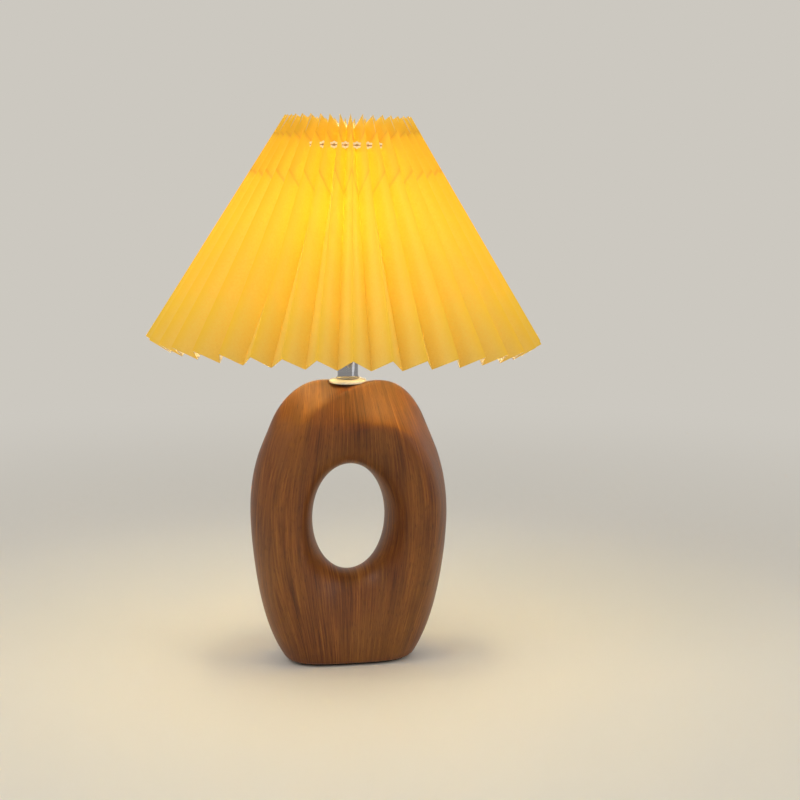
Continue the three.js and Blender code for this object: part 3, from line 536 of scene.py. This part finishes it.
# Inside the lampholder: a steatite insert, pressed and glazed, and a screw shell and tongue of
# rolled brass. The glaze is glossy over faintly speckled clay, and the brass is dulled in patches.
steatite = mottled("glazed steatite", "ShaderNodeTexNoise", ((0.3, "#E4DDCB"), (0.7, "#F1ECDF")),
                   {"Scale": 700.0, "Detail": 4.0}, Roughness=0.25)[0]
dress("holder_insert", steatite)
brass = mottled("rolled brass", "ShaderNodeTexNoise", ((0.3, "#B58E3E"), (0.7, "#D1AC5A")),
                {"Scale": 260.0, "Detail": 3.0}, Metallic=1.0, Roughness=0.3)[0]
dress("screw_shell", brass)
dress("centre_contact", brass)

# Retaining ring: moulded in the same PBT, with grip ribs round it. It screws down the skirt and
# clamps the shade's frame on the collar.
ring_low, ring_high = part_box("shade_ring")
grip_count = 24
grip_depth = 0.0006
grip_radius = ring_high.x - grip_depth
retaining = turned_piece("shade_ring_ribbed", [(holder_radius + seat_gap, ring_low.z), (grip_radius, ring_low.z),
                                               (grip_radius, ring_high.z), (holder_radius + seat_gap, ring_high.z)],
                         steps=8 * grip_count, edge=0.0004)
for vertex in retaining.data.vertices:
    radius = math.hypot(vertex.co.x, vertex.co.y)
    if radius > grip_radius - grip_depth:
        angle = math.atan2(vertex.co.y, vertex.co.x)
        grown = (radius + grip_depth * math.cos(grip_count * angle)) / radius
        vertex.co.x *= grown
        vertex.co.y *= grown
finish_piece(retaining, pbt, "white_plastic", "retaining_ring", "shade_ring")

# Shade frame: a stamped steel ring, three bent wires and a wire hoop, spot-welded and coated in
# white powder, which pools a little and lies with a fine orange peel.
wire_radius = 0.0015
fitter_clearance = 0.0006
fitter = turned_piece("fitter_ring_stamped", [
    (holder_radius + fitter_clearance, fitter_low.z), (fitter_high.x, fitter_low.z), (fitter_high.x, fitter_high.z),
    (holder_radius + fitter_clearance, fitter_high.z)], edge=0.0003)
hoop_low, hoop_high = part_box("support_ring")
hoop_radius = hoop_high.y - wire_radius
bpy.ops.mesh.primitive_torus_add(major_segments=144, minor_segments=20, major_radius=hoop_radius,
                                 minor_radius=wire_radius)
hoop = bpy.context.object
hoop.name = "support_ring_wire"
hoop.data.transform(Matrix.Translation((0, 0, (hoop_low.z + hoop_high.z) / 2)))
bpy.ops.object.shade_smooth()
leg_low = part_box("frame_leg_1")[0]
leg_run_height = leg_low.z + wire_radius
leg_corner = fitter_high.x + wire_radius + seat_gap
leg_bend = 0.007
weld_setback = 1.5 * wire_radius
leg_end = Vector((0, hoop_radius, (hoop_low.z + hoop_high.z) / 2))
leg_start = Vector((0, leg_low.y, leg_run_height))
corner = Vector((0, leg_corner + leg_bend, leg_run_height))
rise = (leg_end - corner).normalized()
path = bpy.data.curves.new("frame_leg_path", "CURVE")
path.dimensions = "3D"
path.bevel_depth = wire_radius
path.bevel_resolution = 4
path.use_fill_caps = True
line = path.splines.new("BEZIER")
line.bezier_points.add(3)
handle = leg_bend / 2
knots = [(leg_start, Vector((0, 1, 0))), (Vector((0, leg_corner, leg_run_height)), Vector((0, 1, 0))),
         (corner + rise * leg_bend, rise), (leg_end - rise * weld_setback, rise)]
for point, (knot, heading) in zip(line.bezier_points, knots):
    point.co = knot
    point.handle_left = knot - heading * handle
    point.handle_right = knot + heading * handle
path.resolution_u = 10
leg = bpy.data.objects.new("frame_leg_wire_1", path)
bpy.context.scene.collection.objects.link(leg)
select_only(leg)
bpy.ops.object.convert(target="MESH")
leg = bpy.context.object
bpy.ops.object.shade_smooth_by_angle(angle=math.radians(50))
legs = [leg]
for index in (1, 2):
    copy = leg.copy()
    copy.data = leg.data.copy()
    copy.data.transform(Matrix.Rotation(2 * math.pi * index / 3, 4, "Z"))
    copy.name = f"frame_leg_wire_{index + 1}"
    bpy.context.scene.collection.objects.link(copy)
    legs.append(copy)
powder, powder_shader, peel = mottled("white powder coat on steel", "ShaderNodeTexNoise",
                                      ((0.3, "#E6E2D8"), (0.7, "#F2EFE6")), {"Scale": 900.0, "Detail": 2.0},
                                      Roughness=0.4)
powder_relief = add(powder, "ShaderNodeBump", {"Height": peel, "Strength": 0.25, "Distance": 0.0002}).outputs[0]
feed(powder, powder_relief, powder_shader, "Normal")
finish_piece(fitter, powder, "white_wire", "frame", "fitter_ring")
finish_piece(hoop, powder, "white_wire", "frame", "support_ring")
for index, wire in enumerate(legs):
    finish_piece(wire, powder, "white_wire", "frame", f"frame_leg_{index + 1}")

# Pleated sheet: cream paper bonded to film, knife-pleated in a machine, with its ends glued into a
# cone. Drawn together by hand, its pleats open a little unevenly, and it hangs a little askew.
pleat_count = 38
pleat_depth = 0.020
strip_width = 0.195
sheet_thickness = 0.0005
sheet_low, sheet_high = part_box("pleated_shade")
top_radius = 0.0473
bottom_radius = sheet_high.x
top_height = sheet_high.z
slope = Vector((bottom_radius - top_radius, -math.sqrt(strip_width ** 2 - (bottom_radius - top_radius) ** 2)))
slope.normalize()
inward = Vector((slope.y, -slope.x))
fold_crease = 0.08
panel_shares = (0, fold_crease, 0.3, 0.5, 0.7, 1 - fold_crease)
rows = 40
uneven = random.Random(7)
fold_wander = [uneven.uniform(-1, 1) for fold in range(2 * pleat_count)]
fold_lift = [uneven.uniform(-1, 1) for fold in range(2 * pleat_count)]
wander = 0.0011
lift = 0.00055
held_wander = 0.35
held_place = 0.4
askew = math.radians(1.26)


def sheet_point(column, slant):
    """A point of the sheet: column counts panels round the shade, slant runs down from the top edge."""
    fold = int(column) % (2 * pleat_count)
    share = column - int(column)
    ends = []
    for offset in (0, 1):
        number = (fold + offset) % (2 * pleat_count)
        radius = top_radius + slope.x * slant
        lateral = radius * math.sin(math.pi / pleat_count)
        depth = math.sqrt(pleat_depth ** 2 - lateral ** 2) if number % 2 else 0
        depth += lift * fold_lift[number]
        place = Vector((top_radius, top_height)) + slope * slant + inward * depth
        loose = held_wander + (1 - held_wander) * abs(2 * slant / strip_width - held_place)
        turn = math.pi * number / pleat_count + wander * loose * fold_wander[number] / radius
        ends.append(Vector((place.x * math.cos(turn), place.x * math.sin(turn), place.y)))
    return ends[0].lerp(ends[1], share)


columns = 2 * pleat_count * len(panel_shares)
bpy.ops.object.select_all(action="DESELECT")
bpy.ops.mesh.primitive_grid_add(x_subdivisions=columns, y_subdivisions=rows, size=1)
sheet = bpy.context.object
sheet.name = "pleated_sheet"
outer_fold = sheet.data.attributes.new("outer_fold", "FLOAT", "POINT")
for vertex in sheet.data.vertices:
    step = round((vertex.co.x + 0.5) * columns)
    panel, part = divmod(step, len(panel_shares))
    share = panel_shares[part]
    outer_fold.data[vertex.index].value = abs((panel + share) % 2 - 1)
    vertex.co = sheet_point((panel + share) % (2 * pleat_count), strip_width * (0.5 - vertex.co.y))
bpy.ops.object.mode_set(mode="EDIT")
bpy.ops.mesh.select_all(action="SELECT")
bpy.ops.mesh.remove_doubles(threshold=merge_distance)
bpy.ops.mesh.normals_make_consistent(inside=False)
bpy.ops.object.mode_set(mode="OBJECT")
for layer in range(2):
    sheet.data.materials.append(None)
wall = sheet.modifiers.new("sheet thickness", "SOLIDIFY")
wall.thickness = sheet_thickness
wall.offset = -1
wall.material_offset = 1
bpy.ops.object.modifier_apply(modifier=wall.name)
bpy.ops.object.shade_smooth_by_angle(angle=math.radians(25))
pivot = Vector((0, 0, (hoop_low.z + hoop_high.z) / 2))
sheet.data.transform(Matrix.Translation(pivot) @ Matrix.Rotation(askew, 4, "Y") @ Matrix.Translation(-pivot))

cord_low, cord_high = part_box("gathering_cord")
cord_thickness = 0.0016
cord_turn_radius = cord_high.x - cord_thickness / 2
cord_height = (cord_low.z + cord_high.z) / 2

# Paper with a lamp behind it: the bulb's light through it is painted on as a glow that fades towards
# the lower edge, with painted shade on the folds that lie inward and a painted deeper yellow near the
# outer folds. Its fibres show as a fine fleck, and as cloudy patches in the painted glow.
cream, cream_shader = new_finish("cream pleated paper, lit from inside", Roughness=0.75, Specular_IOR_Level=0.15,
                                 Emission_Strength=0.75)
cream_place = add(cream, "ShaderNodeTexCoord").outputs["Object"]
fibres = add(cream, "ShaderNodeTexNoise", {"Vector": cream_place, "Scale": 700.0, "Detail": 4.0,
                                           "Roughness": 0.7}).outputs[0]
cream_colour = add(cream, "ShaderNodeValToRGB", {0: fibres}, stops=((0.3, "#E6C768"), (0.7, "#EDD076"))).outputs[0]
to_outer_fold = add(cream, "ShaderNodeAttribute", attribute_name="outer_fold").outputs["Fac"]
# Painted glow: the paper's base colour turns a deeper yellow towards the outer folds.
outer_fold_glow_share = add(cream, "ShaderNodeMapRange", {"Value": to_outer_fold, "From Min": 0.55, "From Max": 1.0},
                interpolation_type="SMOOTHSTEP").outputs[0]
outer_fold_glow_colour = add(cream, "ShaderNodeMix", {0: outer_fold_glow_share, 6: cream_colour, 7: linear("#E8C552")},
                    data_type="RGBA").outputs[2]
feed(cream, outer_fold_glow_colour, cream_shader, "Base Color")
tooth = add(cream, "ShaderNodeBump", {"Height": fibres, "Strength": 0.15, "Distance": 0.0002}).outputs[0]
feed(cream, tooth, cream_shader, "Normal")
split_cream = add(cream, "ShaderNodeSeparateXYZ", {0: cream_place}).outputs
height_share = add(cream, "ShaderNodeMapRange", {"Value": split_cream["Z"], "From Min": sheet_low.z,
                                                 "From Max": sheet_high.z}).outputs[0]
glow = add(cream, "ShaderNodeValToRGB", {0: height_share}, stops=(
    (0.0, "#7A5400"), (0.22, "#A28200"), (0.5, "#C89400"), (0.72, "#CC9800"), (1.0, "#CC9E00"))).outputs[0]
flat_place = add(cream, "ShaderNodeCombineXYZ", {"X": split_cream["X"], "Y": split_cream["Y"]}).outputs[0]
from_axis = add(cream, "ShaderNodeVectorMath", {0: flat_place}, operation="LENGTH").outputs["Value"]

# Two soft bands cross the glow, painted as the shadows of the hoop and of the cord. The height of
# each one's light is set so that the band lies and bends as on the real sheet. The bulb is elsewhere.
hoop_light_height = 0.268
hoop_band_reach = 0.009
cord_light_height = 0.352
cord_band_reach = 0.006
cord_band_rise = 0.005


def wire_shadow(radius, height, source, reach, stops):
    """Shadow of a round wire on the folds, for light from a height on the axis: stops go up past its line."""
    steepness = (height - source) / radius
    beam = add(cream, "ShaderNodeMath", {0: from_axis, 1: -steepness, 2: split_cream["Z"]},
               operation="MULTIPLY_ADD").outputs[0]
    share = add(cream, "ShaderNodeMapRange", {"Value": beam, "From Min": source - reach,
                                              "From Max": source + reach}).outputs[0]
    return add(cream, "ShaderNodeValToRGB", {0: share}, stops=stops).outputs[0]


hoop_shade = wire_shadow(hoop_radius, (hoop_low.z + hoop_high.z) / 2, hoop_light_height, hoop_band_reach, (
    (0.0, "#FFFFFF"), (0.3, "#F4F4F4"), (0.48, "#9C9C9C"), (0.64, "#D6D6D6"), (1.0, "#E6E6E6")))
cord_shade = wire_shadow(cord_turn_radius, cord_height + cord_band_rise, cord_light_height, cord_band_reach, (
    (0.0, "#FFFFFF"), (0.3, "#F2F2F2"), (0.5, "#989898"), (0.7, "#D0D0D0"), (1.0, "#D8D8D8")))
# Painted shade: the glow is darkest on the inward folds and brightest on the outer folds.
fold_glow = add(cream, "ShaderNodeValToRGB", {0: to_outer_fold}, stops=(
    (0.0, "#D8D8D8"), (0.1, "#EDEDED"), (0.5, "#F4F4F4"), (0.75, "#F6F6F6"), (1.0, "#FCFCFC"))).outputs[0]
cloudy = add(cream, "ShaderNodeTexNoise", {"Vector": cream_place, "Scale": 260.0, "Detail": 3.0}).outputs[0]
cloud_share = add(cream, "ShaderNodeMapRange", {"Value": cloudy, "From Min": 0.3, "From Max": 0.7, "To Min": 1.03,
                                                "To Max": 1.13}).outputs[0]
both_shades = add(cream, "ShaderNodeMath", {0: hoop_shade, 1: cord_shade}, operation="MULTIPLY").outputs[0]
paper_shades = add(cream, "ShaderNodeMath", {0: fold_glow, 1: cloud_share}, operation="MULTIPLY").outputs[0]
all_shades = add(cream, "ShaderNodeMath", {0: both_shades, 1: paper_shades}, operation="MULTIPLY").outputs[0]
shaded_glow = add(cream, "ShaderNodeVectorMath", {0: glow, 1: all_shades}, operation="MULTIPLY").outputs[0]
feed(cream, shaded_glow, cream_shader, "Emission Color")
through_colour = add(cream, "ShaderNodeValToRGB", {0: fibres},
                     stops=((0.3, "#F4C448"), (0.7, "#FACE5C"))).outputs[0]
through = add(cream, "ShaderNodeBsdfTranslucent", {"Color": through_colour}).outputs[0]
cream_mix = add(cream, "ShaderNodeMixShader", {0: 0.1, 1: cream_shader.outputs[0], 2: through}).outputs[0]
feed(cream, cream_mix, cream.node_tree.nodes["Material Output"], "Surface")

# Film: smooth and milky, so it blurs the bulb and scatters its light over the folds.
film, film_shader = new_finish("milky film inside the shade", Roughness=0.4, Specular_IOR_Level=0.3)
film_place = add(film, "ShaderNodeTexCoord").outputs["Object"]
haze = add(film, "ShaderNodeTexNoise", {"Vector": film_place, "Scale": 500.0, "Detail": 3.0}).outputs[0]
film_colour = add(film, "ShaderNodeValToRGB", {0: haze}, stops=((0.3, "#F8EFD8"), (0.7, "#FCF6E4"))).outputs[0]
feed(film, film_colour, film_shader, "Base Color")
film_through = add(film, "ShaderNodeBsdfTranslucent", {"Color": film_colour}).outputs[0]
film_mix = add(film, "ShaderNodeMixShader", {0: 0.35, 1: film_shader.outputs[0], 2: film_through}).outputs[0]
feed(film, film_mix, film.node_tree.nodes["Material Output"], "Surface")
sheet.data.materials[0] = cream
sheet.data.materials[1] = film
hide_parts("pleated_shade")
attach(sheet, "shade")

# Gathering cord: a thin braided cotton cord of two white strands, threaded through a punched hole in
# every panel, with a darker grey strand between them as painted shade in the cord's middle. It draws the
# pleats together, and its white strands bow apart in between. The braid looks matt and finely lumpy, and
# the white strands have a faint painted warm glow.
cord_strands = (("white_strand_upper", 0.0009, 0.0021), ("white_strand_lower", 0.0009, -0.0019),
                ("shade_core", 0.0007, 0.0))
crossings = 2 * pleat_count
strands = []
for name, radius, bow in cord_strands:
    bpy.ops.object.select_all(action="DESELECT")
    bpy.ops.mesh.primitive_torus_add(major_segments=3 * crossings, minor_segments=8, major_radius=cord_turn_radius,
                                     minor_radius=radius)
    strand = bpy.context.object
    strand.name = name
    for vertex in strand.data.vertices:
        panels = math.atan2(vertex.co.y, vertex.co.x) / (2 * math.pi) * crossings - 0.5
        vertex.co.z += bow * abs(math.sin(math.pi * panels))
    bpy.ops.object.shade_smooth()
    strands.append(strand)
braid_pattern = {"Scale": 1500.0}
# The white strands get a faint painted warm glow, standing in for the lamp's light on them.
glowing_white_yarn = mottled("braided white cotton", "ShaderNodeTexVoronoi", ((0.1, "#F6F2E8"), (0.7, "#CFC6B2")),
                     braid_pattern, Roughness=0.9, Sheen_Weight=0.3, Emission_Strength=0.4,
                     Emission_Color=linear("#F6E6BC"))
# The darker grey core strand is painted shade for the cord's middle, not a yarn of its own colour.
core_shade_yarn = mottled("grey core strand, painted shade", "ShaderNodeTexVoronoi", ((0.1, "#CDBA94"), (0.7, "#AC9A74")),
                    braid_pattern, Roughness=0.95)
for yarn, yarn_shader, braid in (glowing_white_yarn, core_shade_yarn):
    yarn_relief = add(yarn, "ShaderNodeBump", {"Height": braid, "Strength": 0.5, "Distance": 0.0002},
                      invert=True).outputs[0]
    feed(yarn, yarn_relief, yarn_shader, "Normal")
for strand, yarn in zip(strands, (glowing_white_yarn[0], glowing_white_yarn[0], core_shade_yarn[0])):
    strand.data.materials.append(yarn)
bpy.ops.object.select_all(action="DESELECT")
for strand in strands:
    strand.select_set(True)
cord = strands[0]
bpy.context.view_layer.objects.active = cord
bpy.ops.object.join()
cord.name = "gathering_cord_braided"
cord.data.transform(Matrix.Translation(pivot) @ Matrix.Rotation(askew, 4, "Y")
                    @ Matrix.Translation(Vector((0, 0, cord_height)) - pivot))
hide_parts("gathering_cord")
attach(cord, "shade")

# Bulb: an LED bulb with an opal polycarbonate globe on a white flared housing, and a rolled and
# nickelled aluminium screw cap and tip with black glass between. Lit, the globe is warmer low down.
globe_low, globe_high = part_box("bulb_globe")
globe_radius = 0.030
bulb_centre = globe_high.z - globe_radius
globe_mouth = 0.0255
mouth_turn = math.pi - math.asin(globe_mouth / globe_radius)
globe_wall = 0.0012
globe_steps = 28
turns = [mouth_turn * step / globe_steps for step in range(globe_steps + 1)]
globe = turned_piece("bulb_globe_opal", [
    *((globe_radius * math.sin(turn), bulb_centre + globe_radius * math.cos(turn)) for turn in turns),
    *(((globe_radius - globe_wall) * math.sin(turn), bulb_centre + (globe_radius - globe_wall) * math.cos(turn))
      for turn in reversed(turns))], steps=96)
opal, opal_shader = mottled("opal polycarbonate, lit", "ShaderNodeTexNoise",
                            ((0.3, "#C9C2B4"), (0.7, "#D3CDC0")), {"Scale": 120.0, "Detail": 2.0},
                            Roughness=0.35, Emission_Strength=0.7)[:2]
opal_place = add(opal, "ShaderNodeTexCoord").outputs["Object"]
opal_height = add(opal, "ShaderNodeSeparateXYZ", {0: opal_place}).outputs["Z"]
opal_share = add(opal, "ShaderNodeMapRange", {"Value": opal_height, "From Min": globe_low.z,
                                              "From Max": globe_high.z}).outputs[0]
opal_glow = add(opal, "ShaderNodeValToRGB", {0: opal_share}, stops=(
    (0.0, "#F0C68C"), (0.35, "#F8E2B4"), (0.8, "#FBEBC6"))).outputs[0]
feed(opal, opal_glow, opal_shader, "Emission Color")
finish_piece(globe, opal, "opal", "bulb", "bulb_globe")
housing_low, housing_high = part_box("bulb_housing")
housing_neck = 0.0146
housing_band = 0.0026
flare_foot = housing_low.z + housing_band
flare_steps = 14
flare = []
for step in range(flare_steps + 1):
    share = step / flare_steps
    spread = (share + 1 - math.cos(share * math.pi / 2)) / 2
    flare.append((housing_neck + (globe_mouth - housing_neck) * spread,
                  flare_foot + (housing_high.z - flare_foot) * share))
housing = turned_piece("bulb_housing_moulded", [(0, housing_low.z), (housing_neck, housing_low.z), *flare,
                                                (0, housing_high.z)], edge=0.0003)
finish_piece(housing, pbt, "white_plastic", "bulb", "bulb_housing")
nickel = mottled("nickelled aluminium cap", "ShaderNodeTexNoise", ((0.3, "#B4B2AD"), (0.7, "#CECCC7")),
                 {"Scale": 400.0, "Detail": 4.0}, Metallic=1.0, Roughness=0.3)[0]
dress("bulb_cap", nickel)
dress("bulb_tip", nickel)
black_glass = mottled("black insulating glass", "ShaderNodeTexNoise", ((0.3, "#131214"), (0.7, "#232226")),
                      {"Scale": 500.0}, Roughness=0.2)[0]
dress("bulb_insulator", black_glass)
board = mottled("white solder mask on aluminium", "ShaderNodeTexNoise", ((0.3, "#E2E5E1"), (0.7, "#F0F2EE")),
                {"Scale": 300.0}, Roughness=0.45)[0]
dress("led_plate", board)

# The bulb's light: a warm ball just outside the globe, so that the opal skin doesn't stop it.
bulb_watts = 1.6
globe_clearance = 0.001
bpy.ops.object.light_add(type="POINT", location=(0, 0, bulb_centre))
glow_light = bpy.context.object
glow_light.name = "bulb_light"
glow_light.data.energy = bulb_watts
glow_light.data.use_soft_falloff = False
glow_light.data.color = linear("#FFF5C4")[:3]
glow_light.data.shadow_soft_size = globe_radius + globe_clearance
glow_light.visible_camera = False
glow_light.visible_glossy = False

# Stage: a pale table top that runs into a pale backdrop, under soft studio light from the world
# and two large panels.
backdrop = linear("#CCC8C0")
floor_fade = (0.4, 1.3)
bpy.ops.object.select_all(action="DESELECT")
bpy.ops.mesh.primitive_plane_add(size=60, location=(0, 0, -seat_gap))
floor = bpy.context.object
floor.name = "floor"
paint, paint_shader = new_finish("pale matt table top", Base_Color=linear("#EAE6DE"), Roughness=0.6,
                                 Specular_IOR_Level=0.2)
paint_place = add(paint, "ShaderNodeTexCoord").outputs["Object"]
far = add(paint, "ShaderNodeVectorMath", {0: paint_place}, operation="LENGTH").outputs["Value"]
far_share = add(paint, "ShaderNodeMapRange", {"Value": far, "From Min": floor_fade[0], "From Max": floor_fade[1]},
                interpolation_type="SMOOTHSTEP").outputs[0]


def seen_share(tree_owner):
    """1 where the camera looks, straight or by way of glass or metal, and 0 for light that falls on the lamp."""
    paths = add(tree_owner, "ShaderNodeLightPath").outputs
    straight = add(tree_owner, "ShaderNodeMath", {0: paths["Is Camera Ray"], 1: paths["Is Transmission Ray"]},
                   operation="ADD").outputs[0]
    return add(tree_owner, "ShaderNodeMath", {0: straight, 1: paths["Is Glossy Ray"]}, operation="ADD",
               use_clamp=True).outputs[0]


far_seen = add(paint, "ShaderNodeMath", {0: far_share, 1: seen_share(paint)}, operation="MULTIPLY").outputs[0]
far_paint = add(paint, "ShaderNodeEmission", {"Color": backdrop}).outputs[0]
paint_mix = add(paint, "ShaderNodeMixShader", {0: far_seen, 1: paint_shader.outputs[0], 2: far_paint}).outputs[0]
feed(paint, paint_mix, paint.node_tree.nodes["Material Output"], "Surface")
floor.data.materials.append(paint)
world = bpy.data.worlds.new("studio")
bpy.context.scene.world = world
world.use_nodes = True
studio = world.node_tree.nodes["Background"]
studio.inputs["Color"].default_value = linear("#EFEDE8")
studio.inputs["Strength"].default_value = 0.66
seen_world = add(world, "ShaderNodeBackground", {"Color": backdrop}).outputs[0]
world_mix = add(world, "ShaderNodeMixShader", {0: seen_share(world), 1: studio.outputs[0], 2: seen_world}).outputs[0]
feed(world, world_mix, world.node_tree.nodes["World Output"], "Surface")
for name, place_at, size, energy in (("key_panel", (-1.0, -0.6, 1.2), 0.6, 3.2),
                                     ("fill_panel", (1.3, -0.8, 0.8), 1.0, 3.2)):
    bpy.ops.object.light_add(type="AREA", location=place_at)
    panel = bpy.context.object
    panel.name = name
    panel.data.size = size
    panel.data.energy = energy
    panel.rotation_euler = (Vector((0, 0, 0.18)) - Vector(place_at)).to_track_quat("-Z", "Y").to_euler()

bpy.context.scene.view_settings.view_transform = "Standard"
